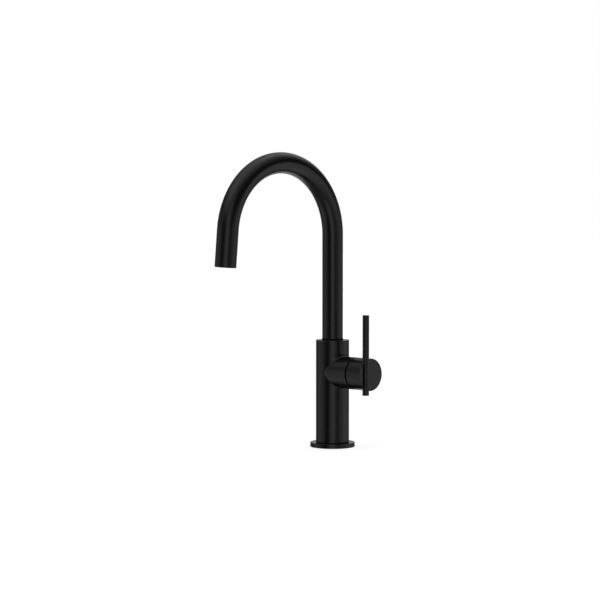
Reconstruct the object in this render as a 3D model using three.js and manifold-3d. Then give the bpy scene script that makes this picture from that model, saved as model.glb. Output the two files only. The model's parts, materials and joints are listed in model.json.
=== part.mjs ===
// Gooseneck bar faucet: a single-hole tap with a swivelling spout and a lever handle at its side.
//
// Millimetres, +Z up. The origin is on the body's upright axis, at the deck plane. The spout points
// to -Y, and the handle's axis runs along +X. Every piece is one closed solid in its own mesh, as
// it would lie on a bench: body, waterways, ceramic cartridge, handle, spout, aerator and clamp.

import * as THREE from 'three';
import { mergeVertices } from 'three/addons/utils/BufferGeometryUtils.js';
import Module from 'manifold-3d';

const wasm = await Module();
wasm.setup();

// ---- Driving dimensions: fits and edges ------------------------------------------------------

const slip = 0.3; // gap round pieces that screw, push or turn in each other
const glide = 0.1; // gap between faces that slide on each other
const edgeRound = 0.6; // rounding of the outer edges
const overshoot = 1; // how far a cutting shape runs past the face it cuts

// ---- Driving dimensions: base and shank ------------------------------------------------------

const flangeRadius = 27.45;
const flangeThickness = 5.4;
const shankRadius = 16; // fits a 35 mm deck hole
const shankWall = 2.6;
const shankDrop = 62; // how far the shank reaches below the deck plane
const collarStep = 0.9; // how far the shank's collar stands out over the flange's bore
const gasketLand = 3.2; // flange metal between its bore and the gasket
const gasketWidth = 3.5;
const gasketThickness = 1.8;

// ---- Driving dimensions: body and waterways --------------------------------------------------

const bodyRadius = 20.43;
const handleHeight = 92.3; // height of the handle's axis
const barrelRadius = 19.67; // the side stub and the handle's hub are flush
const webThickness = 2.7; // core metal between the cartridge and the spout's socket
const socketDepth = 18; // depth of the socket that the spout turns in
const lipThickness = 4; // the body's inward lip at its top
const coreBelowHandle = 42.3; // from the handle's axis down to the core's foot
const seatOffset = 9; // from the body's axis to the cartridge's seat
const inletRadius = 4; // thread of a supply hose
const inletDepth = 12;
const inletBossWall = 1.4;
const inletBossLength = 3;
const inletSpread = 6.4; // half the distance between the two hoses
const inletSetback = 4; // the inlets lie behind the body's axis, away from the cartridge
const portRadius = 2.3;
const portSpread = 5; // half the distance between the hot and the cold port
const portDrop = 6.5; // both ports lie below the handle's axis, and the outlet on it
const channelRadius = 3.2;
const riserChannelRadius = 4.5;

// ---- Driving dimensions: cartridge -----------------------------------------------------------

const cartridgeRadius = 14;
const footThickness = 4;
const sealWall = 1;
const sealThickness = 1.2;
const sealSlack = 0.3; // room round a seal in its pocket
const discRadius = 11.2;
const discThickness = 3;
const pocketDepth = 1.4; // mixing pocket in the moving disc
const pocketReach = 2.4; // how far the pocket reaches past the ports' circle
const pocketStart = 122; // degrees, turned from the cartridge's level line
const pocketEnd = 212;
const carrierThickness = 4;
const tongueLength = 14;
const tongueWidth = 5;
const tongueDepth = 2;
const stemFootRadius = 8.5;
const stemFootThickness = 3;
const shoulderThickness = 1.2;
const neckWall = 5.6;
const neckLength = 5.5;
const nutStep = 2.3; // the cartridge nut is larger than the cartridge by this much all round
const nutThreadLength = 4.5;
const nutHexLength = 4;
const nutHexInset = 0.8;
const stemRingSection = 0.6; // half the thickness of the stem's O-ring
const trimWall = 3.2;
const trimSleeveLength = 2.75;
const trimSetback = 1; // from the nut to the trim ring

// ---- Driving dimensions: handle --------------------------------------------------------------

const seamWidth = 2.5; // dark seam between stub and hub
const seamDepth = 1.3;
const hubLength = 22.25;
const hubWall = 3.2;
const hubFace = 6; // thickness of the hub's end wall
const bossRadius = 9;
const bossSetback = 2;
const stemRadius = 6;
const stemNeckRadius = 5;
const stemSquare = 6.5;
const stemEndGap = 1.5;
const leverRadius = 4; // a round rod, with its axis in the plane of the hub's end face
const leverAbove = 72.3; // from the handle's axis to the lever's top
const leverBelow = 24.5;
const leverOffset = 8.6; // the lever stands off the axis, towards the spout
const leverRound = 0.5; // rounding of the rod's ends
const leverFit = 0.05; // gap between the lever and its bed in the hub
const leverScrewSpread = 9;
const leverScrewRadius = 1.35;
const leverScrewHead = 2.7;
const leverScrewRim = 0.2;
const leverScrewDrive = 0.9; // hexagon in the head, and its depth
const leverScrewBite = 2.3; // how far the screws reach past the lever's own axis
const grubRadius = 2;
const grubSocket = 1.1; // hexagon in a grub screw's end
const grubSocketDepth = 2;
const grubFromFace = 14.5; // from the hub's end face to the grub screw

// ---- Driving dimensions: spout ---------------------------------------------------------------

const tubeRadius = 12.7;
const tubeWall = 1.5;
const riserLength = 128.8; // straight tube between the body's top and the arch
const archRadius = 86.5;
const archSweep = 174.85; // degrees
const tailLength = 43.9;
const glideRingWall = 0.5;
const glideRingSetback = 0.3; // from the body's top down to the ring's shoulder
const glideRingLip = 0.3; // wall of the lip that stands out of the body round the tube
const glideRingRise = 2.1; // how far the lip stands above the body's top
const spigotBore = 8.5;
const spigotPlug = 9; // length of the spigot inside the tube
const ringSection = 0.95; // half the thickness of an O-ring
const lowerRingHeight = 2.6; // from the socket's floor
const upperRingHeight = 6;
const lockGrooveHeight = 9.6;
const lockGrooveWidth = 2.2;
const lockGrooveDepth = 1.2;
const lockTipRadius = 0.8;
const spigotLength = 11.7;

// ---- Driving dimensions: aerator -------------------------------------------------------------

const aeratorSetback = 1.2;
const aeratorHousingLength = 9.8;
const aeratorHousingWall = 2;
const aeratorLip = 0.8;
const aeratorCell = 0.9; // half the width of a honeycomb cell
const aeratorPitch = 3.2;
const aeratorRings = 2; // rings of cells round the middle one
const aeratorWasherThickness = 2;
const aeratorWasherWall = 2.9;

// ---- Driving dimensions: clamp under the deck ------------------------------------------------

const deckThickness = 25; // the deck that the clamp is set to
const washerRadius = 27;
const rubberThickness = 3;
const washerThickness = 2;
const screwReach = 6; // clear space between nut and washer, set by the clamp screws
const mountingNutCorner = 27;
const mountingNutThickness = 10;
const clampScrewRadius = 2.5;
const clampScrewLength = 20;
const clampHeadRadius = 4;
const clampHeadLength = 4;
const clampScrewCircle = 21;

// ---- Facets ----------------------------------------------------------------------------------

const fineSides = 48; // the large rounds that show
const tubeSides = 24;
const sides = 20; // rings and discs inside
const leverSides = 24;
const holeSides = 12; // small holes and screws
const hexSides = 6; // hexagons: nuts, screw heads, sockets and cells
const cornerSteps = 2;
const archSteps = 24;
const ringSteps = 6;

// ---- Places worked out from the driving dimensions -------------------------------------------

const collarRadius = shankRadius + collarStep;
const bodyBore = collarRadius + slip;
const coreRadius = bodyBore - slip;
const coreFoot = handleHeight - coreBelowHandle;
const cartridgeBore = cartridgeRadius + slip;
const socketFloor = handleHeight + cartridgeBore + webThickness;
const coreTop = socketFloor + socketDepth;
const bodyTop = coreTop + lipThickness;
const socketRadius = tubeRadius + slip;

const footStart = seatOffset;
const fixedDiscStart = footStart + footThickness;
const movingDiscStart = fixedDiscStart + discThickness + glide;
const carrierStart = movingDiscStart + discThickness;
const stemStart = carrierStart + carrierThickness;
const cavityEnd = stemStart + stemFootThickness + slip;
const shoulderPlace = cavityEnd + shoulderThickness;
const neckEnd = shoulderPlace + neckLength;
const nutHexStart = shoulderPlace + nutThreadLength;
const nutEnd = nutHexStart + nutHexLength;
const trimStart = nutEnd + trimSetback;
const stubEnd = trimStart + trimSleeveLength;
const nutRadius = cartridgeRadius + nutStep;
const nutBore = nutRadius + slip;
const cavityRadius = discRadius + 2 * slip;
const neckBore = stemRadius + slip;
const neckRadius = neckBore + neckWall;

const hubStart = stubEnd + seamWidth;
const hubEnd = hubStart + hubLength;
const hubCavityEnd = hubEnd - hubFace;
const hubCavityRadius = barrelRadius - hubWall;
const stemEnd = hubCavityEnd - stemEndGap;
const grubPlace = hubEnd - grubFromFace;

const tubeBore = tubeRadius - tubeWall;
const tubeFoot = socketFloor + slip + spigotLength;
const archHeight = bodyTop + riserLength;
const tailTilt = Math.PI - THREE.MathUtils.degToRad(archSweep);

const clampTop = -deckThickness;
const washerTop = clampTop - rubberThickness;
const screwTip = washerTop - washerThickness;
const mountingNutTop = screwTip - screwReach;
const clampBore = shankRadius + slip;

// ---- Finishes --------------------------------------------------------------------------------

const finishes = {
  satinBlack: { color: 0x1b1b1b, roughness: 0.32, metalness: 0.1 },
  blackPlastic: { color: 0x101010, roughness: 0.5, metalness: 0 },
  blackRubber: { color: 0x161616, roughness: 0.8, metalness: 0 },
  whitePlastic: { color: 0xd9d9d4, roughness: 0.45, metalness: 0 },
  ceramic: { color: 0xf1eee6, roughness: 0.2, metalness: 0 },
  brass: { color: 0xc9a35a, roughness: 0.35, metalness: 1 },
  steel: { color: 0xb9bcbf, roughness: 0.3, metalness: 1 },
};

// ---- Geometry helpers ------------------------------------------------------------------------

// Shared corners merged, triangles without area dropped, and the faces turned outwards.
function closed(geometry) {
  const bare = geometry.clone();
  bare.deleteAttribute('normal');
  bare.deleteAttribute('uv');
  const merged = mergeVertices(bare, 1e-4);
  const corners = merged.index.array;
  const kept = [];
  for (let i = 0; i < corners.length; i += 3) {
    const [a, b, c] = corners.slice(i, i + 3);
    if (a !== b && b !== c && c !== a) {
      kept.push(a, b, c);
    }
  }
  merged.setIndex(kept);
  if (signedVolume(merged) < 0) {
    merged.setIndex(kept.reverse());
  }
  return merged;
}

function signedVolume(geometry) {
  const place = geometry.attributes.position;
  const corners = geometry.index.array;
  const [a, b, c] = [new THREE.Vector3(), new THREE.Vector3(), new THREE.Vector3()];
  let sum = 0;
  for (let i = 0; i < corners.length; i += 3) {
    a.fromBufferAttribute(place, corners[i]);
    b.fromBufferAttribute(place, corners[i + 1]);
    c.fromBufferAttribute(place, corners[i + 2]);
    sum += a.dot(b.cross(c));
  }
  return sum / 6;
}

function solid(geometry) {
  const mesh = closed(geometry);
  return new wasm.Manifold(new wasm.Mesh({
    numProp: 3,
    vertProperties: Float32Array.from(mesh.attributes.position.array),
    triVerts: Uint32Array.from(mesh.index.array),
  }));
}

function surface(manifold) {
  const mesh = manifold.getMesh();
  const geometry = new THREE.BufferGeometry();
  geometry.setAttribute('position', new THREE.BufferAttribute(mesh.vertProperties, 3));
  geometry.setIndex(new THREE.BufferAttribute(mesh.triVerts, 1));
  return geometry;
}

function cut(geometry, ...tools) {
  return surface(tools.reduce((left, tool) => left.subtract(solid(tool)), solid(geometry)));
}

function join(geometry, ...others) {
  return surface(others.reduce((sum, other) => sum.add(solid(other)), solid(geometry)));
}

// A shape turned about Z from an outline of [radius, height] corners.
function turned(outline, count) {
  const points = outline.map(([radius, height]) => new THREE.Vector2(radius, height));
  const onAxis = outline[0][0] === 0 && outline.at(-1)[0] === 0;
  if (!onAxis) {
    points.push(points[0].clone());
  }
  return new THREE.LatheGeometry(points, count).rotateX(Math.PI / 2);
}

// A quarter circle of an outline: from angle start to angle end, in degrees, about a centre.
function corner(radius, height, size, start, end) {
  return Array.from({ length: cornerSteps + 1 }, (_, step) => {
    const angle = THREE.MathUtils.degToRad(start + ((end - start) * step) / cornerSteps);
    return [radius + size * Math.cos(angle), height + size * Math.sin(angle)];
  });
}

// A ring with square edges, or with its outer top edge rounded.
function ring(inner, outer, low, high, count, topRound = 0) {
  const top = topRound > 0 ? corner(outer - topRound, high - topRound, topRound, 0, 90) : [[outer, high]];
  return turned([[inner, low], [outer, low], ...top, [inner, high]], count);
}

function rod(radius, low, high, count) {
  return turned([[0, low], [radius, low], [radius, high], [0, high]], count);
}

function block(width, depth, height, x, y, z) {
  return new THREE.BoxGeometry(width, depth, height).translate(x, y, z);
}

// A rod along X, from one x to another, at a given y and z.
function crossRod(radius, start, end, y, z, count) {
  return rod(radius, start, end, count).rotateY(Math.PI / 2).translate(0, y, z);
}

// A rod along Y, from one y to another, at a given x and z.
function backRod(radius, start, end, x, z, count) {
  return rod(radius, start, end, count).rotateX(-Math.PI / 2).translate(x, 0, z);
}

// The floor of an O-ring's groove, for a ring that seals in a bore.
function grooveFloor(bore, section) {
  return bore - 2 * section - slip;
}

// An O-ring lying flat in such a groove, at its squeezed size.
function oRing(bore, section, height) {
  const radius = bore - section - slip / 2;
  const outline = Array.from({ length: ringSteps }, (_, step) => {
    const angle = (2 * Math.PI * step) / ringSteps;
    return [radius + section * Math.cos(angle), height + section * Math.sin(angle)];
  });
  return turned(outline, sides);
}

// A screw with a hexagon socket in its far end.
function socketed(screw, end) {
  return cut(screw, rod(grubSocket, end - grubSocketDepth, end + overshoot, hexSides));
}

function piece(parent, name, geometry, finish) {
  const material = new THREE.MeshStandardMaterial({ ...finishes[finish], flatShading: true });
  const mesh = new THREE.Mesh(closed(geometry), material);
  mesh.name = name;
  parent.add(mesh);
}

// ---- Base and shank --------------------------------------------------------------------------

const gasketInner = clampBore + gasketLand;
const gasketOuter = gasketInner + gasketWidth;

function baseFlange() {
  const plate = ring(clampBore, flangeRadius, 0, flangeThickness, fineSides, edgeRound);
  return cut(plate, ring(gasketInner - slip, gasketOuter + slip, -overshoot, gasketThickness, sides));
}

function mountingShank() {
  const bore = shankRadius - shankWall;
  return turned([
    [bore, -shankDrop],
    [shankRadius, -shankDrop],
    [shankRadius, flangeThickness],
    [collarRadius, flangeThickness],
    [collarRadius, coreFoot],
    [bore, coreFoot],
  ], sides);
}

// ---- Body and waterways ----------------------------------------------------------------------

const ringSeatRadius = socketRadius + glideRingWall;
const lockHeight = socketFloor + slip + lockGrooveHeight;
const lockHoleRadius = grubRadius + slip;

function bodyShell() {
  const column = ring(0, bodyRadius, flangeThickness, bodyTop, fineSides, edgeRound / 2);
  const stub = ring(0, barrelRadius, 0, stubEnd, fineSides, edgeRound / 2);
  const outside = join(column, stub.rotateY(Math.PI / 2).translate(0, 0, handleHeight));
  return cut(
    outside,
    rod(bodyBore, 0, coreTop, fineSides),
    rod(ringSeatRadius, 0, bodyTop + overshoot, fineSides),
    crossRod(cartridgeBore, 0, stubEnd + overshoot, 0, handleHeight, fineSides),
    crossRod(nutBore, shoulderPlace - overshoot, stubEnd + overshoot, 0, handleHeight, fineSides),
    backRod(lockHoleRadius, 0, bodyRadius + overshoot, 0, lockHeight, holeSides),
  );
}

function waterwayCore() {
  const inletHeight = handleHeight - portDrop;
  const bossFoot = coreFoot - inletBossLength;
  const atInlet = (geometry, side) => geometry.translate(-inletSetback, side * inletSpread, 0);
  const bosses = [-1, 1].map((side) => (
    atInlet(rod(inletRadius + inletBossWall, bossFoot, coreFoot + overshoot, sides), side)
  ));
  const supply = [-1, 1].flatMap((side) => [
    atInlet(rod(inletRadius, bossFoot - overshoot, bossFoot + inletDepth, holeSides), side),
    atInlet(rod(channelRadius, coreFoot, inletHeight, holeSides), side),
    crossRod(portRadius, -inletSetback, seatOffset + overshoot, side * portSpread, inletHeight, holeSides),
  ]);
  return cut(
    join(rod(coreRadius, coreFoot, coreTop, fineSides), ...bosses),
    crossRod(cartridgeBore, seatOffset, coreRadius + overshoot, 0, handleHeight, fineSides),
    rod(socketRadius, socketFloor, coreTop + overshoot, fineSides),
    rod(riserChannelRadius, handleHeight - portRadius, socketFloor + overshoot, holeSides),
    crossRod(portRadius, 0, seatOffset + overshoot, 0, handleHeight, holeSides),
    ...supply,
    backRod(lockHoleRadius, tubeRadius, coreRadius + overshoot, 0, lockHeight, holeSides),
  );
}

// ---- Cartridge, about the handle's axis: local Z runs out along the stub, local Y points up ---

const ports = [
  { name: 'hot_port_seal', x: portSpread, y: -portDrop },
  { name: 'cold_port_seal', x: -portSpread, y: -portDrop },
  { name: 'outlet_port_seal', x: 0, y: 0 },
];

function atPorts(radius, low, high) {
  return ports.map(({ x, y }) => rod(radius, low, high, holeSides).translate(x, y, 0));
}

function portSeal({ x, y }) {
  const bore = portRadius + sealSlack;
  return ring(bore, bore + sealWall, footStart, footStart + sealThickness, holeSides).translate(x, y, 0);
}

function cartridgeFoot() {
  const pocket = portRadius + sealWall + 2 * sealSlack;
  return cut(
    rod(cartridgeRadius, footStart, fixedDiscStart, sides),
    ...atPorts(portRadius, footStart - overshoot, fixedDiscStart + overshoot),
    ...atPorts(pocket, footStart - overshoot, footStart + sealThickness),
  );
}

function fixedDisc() {
  const end = fixedDiscStart + discThickness;
  return cut(
    rod(discRadius + slip, fixedDiscStart, end, sides),
    ...atPorts(portRadius, fixedDiscStart - overshoot, end + overshoot),
  );
}

// The mixing pocket is a sector open to the outlet at the middle. At rest it lies beside the cold
// port, and as the handle turns it uncovers the cold port first and then the hot one.
function movingDisc() {
  const outline = new THREE.Shape();
  const reach = Math.hypot(portSpread, portDrop) + pocketReach;
  const [start, end] = [pocketStart, pocketEnd].map(THREE.MathUtils.degToRad);
  outline.moveTo(0, 0);
  outline.absarc(0, 0, reach, start, end, false);
  const sector = new THREE.ExtrudeGeometry(outline, {
    depth: pocketDepth + overshoot,
    bevelEnabled: false,
    curveSegments: holeSides,
  });
  const pocketTop = movingDiscStart + pocketDepth;
  return cut(
    rod(discRadius, movingDiscStart, carrierStart, sides),
    sector.translate(0, 0, movingDiscStart - overshoot),
    rod(portRadius, movingDiscStart - overshoot, pocketTop, holeSides),
  );
}

function discCarrier() {
  const slotDepth = tongueDepth + slip;
  return cut(
    rod(discRadius + slip / 2, carrierStart, stemStart, sides),
    block(tongueLength + 2 * slip, tongueWidth + 2 * slip, 2 * slotDepth, 0, 0, stemStart),
  );
}

function cartridgeHousing() {
  return turned([
    [cavityRadius, fixedDiscStart],
    [cartridgeRadius, fixedDiscStart],
    [cartridgeRadius, shoulderPlace],
    [neckRadius, shoulderPlace],
    [neckRadius, neckEnd],
    [neckBore, neckEnd],
    [neckBore, cavityEnd],
    [cavityRadius, cavityEnd],
  ], sides);
}

function cartridgeNut() {
  const bore = neckRadius + slip;
  const thread = ring(bore, nutRadius, shoulderPlace, nutHexStart, sides);
  const hex = rod(nutRadius - nutHexInset, nutHexStart, nutEnd, hexSides);
  return cut(join(thread, hex), rod(bore, nutHexStart - overshoot, nutEnd + overshoot, sides));
}

function trimRing() {
  const bore = nutRadius - trimWall;
  const edge = barrelRadius - seamDepth;
  return turned([
    [bore, trimStart],
    [nutRadius, trimStart],
    [nutRadius, stubEnd],
    [edge, stubEnd],
    [edge, hubStart - 2 * slip],
    [bore, hubStart - 2 * slip],
  ], fineSides);
}

// ---- Handle, about the same axis -------------------------------------------------------------

const stemRingPlace = shoulderPlace + neckLength / 2;

function cartridgeStem() {
  const grooveHalf = stemRingSection + slip / 2;
  const floor = grooveFloor(neckBore, stemRingSection);
  const shaft = turned([
    [0, stemStart],
    [stemFootRadius, stemStart],
    [stemFootRadius, stemStart + stemFootThickness],
    [stemRadius, stemStart + stemFootThickness],
    [stemRadius, stemRingPlace - grooveHalf],
    [floor, stemRingPlace - grooveHalf],
    [floor, stemRingPlace + grooveHalf],
    [stemRadius, stemRingPlace + grooveHalf],
    [stemRadius, neckEnd],
    [stemNeckRadius, neckEnd],
    [stemNeckRadius, hubStart],
    [0, hubStart],
  ], sides);
  const tongue = block(tongueLength, tongueWidth, 2 * tongueDepth, 0, 0, stemStart);
  const squareLength = stemEnd - hubStart + overshoot;
  const square = block(stemSquare, stemSquare, squareLength, 0, 0, stemEnd - squareLength / 2);
  return join(shaft, tongue, square);
}

const leverScrewTop = hubCavityEnd + slip;

// One outline serves the lever's countersunk screws and, grown by the clearance, their holes.
function leverScrewBody(grow) {
  const radius = leverScrewRadius + grow;
  const head = leverScrewHead + grow;
  const coneStart = leverScrewTop + leverScrewRim;
  const coneEnd = coneStart + leverScrewHead - leverScrewRadius;
  const end = hubEnd + leverScrewBite + grow;
  return turned([
    [0, leverScrewTop - 2 * grow],
    [head, leverScrewTop - 2 * grow],
    [head, coneStart],
    [radius, coneEnd],
    [radius, end],
    [0, end],
  ], holeSides);
}

function leverScrew(y) {
  const driveEnd = leverScrewTop + leverScrewDrive;
  const drive = rod(leverScrewDrive, leverScrewTop - overshoot, driveEnd, hexSides);
  return cut(leverScrewBody(0), drive).translate(-leverOffset, y, 0);
}

function leverScrewHoles() {
  return [leverScrewSpread, -leverScrewSpread].map((y) => (
    leverScrewBody(slip).translate(-leverOffset, y, 0)
  ));
}

function handleHub() {
  const round = edgeRound / 2;
  const cup = turned([
    [0, hubStart + bossSetback],
    [bossRadius, hubStart + bossSetback],
    [bossRadius, hubCavityEnd],
    [hubCavityRadius, hubCavityEnd],
    [hubCavityRadius, hubStart],
    ...corner(barrelRadius - round, hubStart + round, round, -90, 0),
    ...corner(barrelRadius - round, hubEnd - round, round, 0, 90),
    [0, hubEnd],
  ], fineSides);
  const squareSide = stemSquare + 2 * slip;
  const squareEnd = stemEnd + slip;
  const squareLength = squareEnd - hubStart;
  return cut(
    cup,
    block(squareSide, squareSide, squareLength, 0, 0, squareEnd - squareLength / 2),
    ...leverScrewHoles(),
    leverBed(),
    backRod(grubRadius + slip, -barrelRadius - overshoot, 0, 0, grubPlace, holeSides),
  );
}

// Half of the lever's round lies in this groove across the hub's end face.
function leverBed() {
  const reach = barrelRadius + overshoot;
  return backRod(leverRadius + leverFit, -reach, reach, -leverOffset, hubEnd, leverSides);
}

function leverBar() {
  const inner = leverRadius - leverRound;
  const bar = turned([
    [0, -leverBelow],
    ...corner(inner, -leverBelow + leverRound, leverRound, -90, 0),
    ...corner(inner, leverAbove - leverRound, leverRound, 0, 90),
    [0, leverAbove],
  ], leverSides);
  const laid = bar.rotateX(-Math.PI / 2).translate(-leverOffset, 0, hubEnd);
  return cut(laid, ...leverScrewHoles());
}

// A socket-headed grub screw along local -Y: its tip rests on the stem's flat.
function hubGrubScrew() {
  const tip = stemSquare / 2 + slip;
  const screw = socketed(rod(grubRadius, tip, bossRadius, holeSides), bossRadius);
  return screw.rotateX(Math.PI / 2).translate(0, 0, grubPlace);
}

// ---- Spout -----------------------------------------------------------------------------------

// Stations of the spout's centre line, each with its place and the angle that the tube has turned.
function spoutStations() {
  const sweep = THREE.MathUtils.degToRad(archSweep);
  const stations = [{ y: 0, z: tubeFoot, turn: 0 }];
  for (let step = 0; step <= archSteps; step += 1) {
    const turn = (sweep * step) / archSteps;
    stations.push({
      y: -archRadius + archRadius * Math.cos(turn),
      z: archHeight + archRadius * Math.sin(turn),
      turn,
    });
  }
  const bend = stations.at(-1);
  stations.push({
    y: bend.y - tailLength * Math.sin(sweep),
    z: bend.z + tailLength * Math.cos(sweep),
    turn: sweep,
  });
  return stations;
}

// A wall of triangles through rings of corners round the stations, at one radius.
function tubeWallCorners(stations, radius) {
  return stations.flatMap(({ y, z, turn }) => Array.from({ length: tubeSides }, (_, step) => {
    const angle = (2 * Math.PI * step) / tubeSides;
    const across = radius * Math.cos(angle);
    return [radius * Math.sin(angle), y + across * Math.cos(turn), z + across * Math.sin(turn)];
  }));
}

function spoutTube() {
  const stations = spoutStations();
  const outer = tubeWallCorners(stations, tubeRadius);
  const inner = tubeWallCorners(stations, tubeBore);
  const corners = [];
  const band = (ringA, ringB) => {
    for (let step = 0; step < tubeSides; step += 1) {
      const next = (step + 1) % tubeSides;
      corners.push(ringA + step, ringA + next, ringB + step);
      corners.push(ringA + next, ringB + next, ringB + step);
    }
  };
  for (let station = 0; station + 1 < stations.length; station += 1) {
    const [low, high] = [station * tubeSides, (station + 1) * tubeSides];
    band(low, high);
    band(outer.length + high, outer.length + low);
  }
  band(outer.length, 0);
  band(outer.length - tubeSides, 2 * outer.length - tubeSides);
  const geometry = new THREE.BufferGeometry();
  const places = [...outer, ...inner].flat();
  geometry.setAttribute('position', new THREE.Float32BufferAttribute(places, 3));
  geometry.setIndex(corners);
  return geometry;
}

function spoutSpigot() {
  const start = socketFloor + slip;
  const grooveHalf = ringSection + slip / 2;
  const ringFloor = grooveFloor(socketRadius, ringSection);
  const groove = (middle, half, floor) => [
    [tubeRadius, middle - half],
    [floor, middle - half],
    [floor, middle + half],
    [tubeRadius, middle + half],
  ];
  return turned([
    [spigotBore, start],
    [tubeRadius, start],
    ...groove(start + lowerRingHeight, grooveHalf, ringFloor),
    ...groove(start + upperRingHeight, grooveHalf, ringFloor),
    ...groove(start + lockGrooveHeight, lockGrooveWidth / 2, tubeRadius - lockGrooveDepth),
    [tubeRadius, tubeFoot],
    [tubeBore - slip, tubeFoot],
    [tubeBore - slip, tubeFoot + spigotPlug],
    [spigotBore, tubeFoot + spigotPlug],
  ], sides);
}

function spoutORing(height) {
  return oRing(socketRadius, ringSection, socketFloor + slip + height);
}

function glideRing() {
  const inner = tubeRadius + slip / 2;
  const outer = ringSeatRadius - glide;
  const shoulder = bodyTop - glideRingSetback;
  const lip = inner + glideRingLip;
  const top = bodyTop + glideRingRise;
  return turned([
    [inner, coreTop],
    [outer, coreTop],
    [outer, shoulder],
    [lip, shoulder],
    [lip, top],
    [inner, top],
  ], fineSides);
}

// A grub screw with a dog point that runs in the spigot's groove, entered from the body's back.
function spoutLockScrew() {
  const tip = tubeRadius - lockGrooveDepth + slip;
  const thread = socketRadius + slip;
  const end = bodyRadius - 2 * slip;
  const screw = turned([
    [0, tip],
    [lockTipRadius, tip],
    [lockTipRadius, thread],
    [grubRadius, thread],
    [grubRadius, end],
    [0, end],
  ], holeSides);
  return socketed(screw, end).rotateX(-Math.PI / 2).translate(0, 0, lockHeight);
}

// ---- Aerator, about the tail's axis: local Z runs from the outlet up into the tube ------------

const aeratorRadius = tubeBore - slip;
const aeratorBore = aeratorRadius - aeratorHousingWall;
const aeratorTop = aeratorSetback + aeratorHousingLength;

function aeratorHousing() {
  const lipBore = aeratorBore - aeratorLip;
  const lipTop = aeratorSetback + aeratorLip;
  return turned([
    [lipBore, aeratorSetback],
    [aeratorRadius, aeratorSetback],
    [aeratorRadius, aeratorTop],
    [aeratorBore, aeratorTop],
    [aeratorBore, lipTop],
    [lipBore, lipTop],
  ], sides);
}

// Rows of honeycomb cells, on a triangular grid round the middle.
function aeratorInsert() {
  const face = new THREE.Shape();
  face.absarc(0, 0, aeratorBore - slip, 0, 2 * Math.PI, false);
  for (let row = -aeratorRings; row <= aeratorRings; row += 1) {
    const count = 2 * aeratorRings + 1 - Math.abs(row);
    for (let cell = 0; cell < count; cell += 1) {
      const x = (cell - (count - 1) / 2) * aeratorPitch;
      const y = (row * aeratorPitch * Math.sqrt(3)) / 2;
      const points = Array.from({ length: hexSides }, (_, step) => {
        const angle = (2 * Math.PI * step) / hexSides;
        return new THREE.Vector2(x + aeratorCell * Math.cos(angle), y + aeratorCell * Math.sin(angle));
      });
      face.holes.push(new THREE.Path(points));
    }
  }
  const height = aeratorHousingLength - aeratorLip - slip;
  return new THREE.ExtrudeGeometry(face, {
    depth: height,
    bevelEnabled: false,
    curveSegments: sides,
  }).translate(0, 0, aeratorSetback + aeratorLip);
}

function aeratorWasher() {
  const inner = aeratorRadius - aeratorWasherWall;
  return ring(inner, aeratorRadius, aeratorTop, aeratorTop + aeratorWasherThickness, sides);
}

// ---- Clamp under the deck --------------------------------------------------------------------

function mountingNut() {
  const foot = mountingNutTop - mountingNutThickness;
  const through = (radius, count) => rod(radius, foot - overshoot, mountingNutTop + overshoot, count);
  return cut(
    rod(mountingNutCorner, foot, mountingNutTop, hexSides),
    through(clampBore, sides),
    through(clampScrewRadius + slip, holeSides).translate(0, clampScrewCircle, 0),
    through(clampScrewRadius + slip, holeSides).translate(0, -clampScrewCircle, 0),
  );
}

function clampScrew(y) {
  const headTop = screwTip - clampScrewLength;
  const shaft = rod(clampScrewRadius, headTop - overshoot, screwTip, holeSides);
  const head = rod(clampHeadRadius, headTop - clampHeadLength, headTop, hexSides);
  return join(shaft, head).translate(0, y, 0);
}

// ---- Assembly --------------------------------------------------------------------------------

const faucet = new THREE.Group();
faucet.name = 'gooseneck_bar_faucet';

// Turns Z to X, X to Y and Y to Z, so the pieces about the handle's axis are made upright.
const handleAxis = new THREE.Group();
handleAxis.quaternion.set(0.5, 0.5, 0.5, 0.5);
handleAxis.position.set(0, 0, handleHeight);
faucet.add(handleAxis);

const outlet = new THREE.Group();
const outletPlace = spoutStations().at(-1);
outlet.position.set(0, outletPlace.y, outletPlace.z);
outlet.rotation.x = -tailTilt;
faucet.add(outlet);

piece(faucet, 'base_flange', baseFlange(), 'satinBlack');
piece(faucet, 'base_gasket', ring(gasketInner, gasketOuter, 0, gasketThickness, sides), 'blackRubber');
piece(faucet, 'mounting_shank', mountingShank(), 'brass');
piece(faucet, 'body_shell', bodyShell(), 'satinBlack');
piece(faucet, 'waterway_core', waterwayCore(), 'brass');
piece(faucet, 'glide_ring', glideRing(), 'blackPlastic');
piece(faucet, 'spout_lock_screw', spoutLockScrew(), 'steel');

piece(handleAxis, 'cartridge_base', cartridgeFoot(), 'whitePlastic');
for (const port of ports) {
  piece(handleAxis, port.name, portSeal(port), 'blackRubber');
}
piece(handleAxis, 'fixed_disc', fixedDisc(), 'ceramic');
piece(handleAxis, 'moving_disc', movingDisc(), 'ceramic');
piece(handleAxis, 'disc_carrier', discCarrier(), 'whitePlastic');
piece(handleAxis, 'cartridge_housing', cartridgeHousing(), 'whitePlastic');
piece(handleAxis, 'cartridge_stem', cartridgeStem(), 'brass');
piece(handleAxis, 'stem_o_ring', oRing(neckBore, stemRingSection, stemRingPlace), 'blackRubber');
piece(handleAxis, 'cartridge_nut', cartridgeNut(), 'brass');
piece(handleAxis, 'trim_ring', trimRing(), 'blackPlastic');

piece(handleAxis, 'handle_hub', handleHub(), 'satinBlack');
piece(handleAxis, 'lever_bar', leverBar(), 'satinBlack');
piece(handleAxis, 'lever_screw_upper', leverScrew(leverScrewSpread), 'steel');
piece(handleAxis, 'lever_screw_lower', leverScrew(-leverScrewSpread), 'steel');
piece(handleAxis, 'hub_grub_screw', hubGrubScrew(), 'steel');

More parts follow.
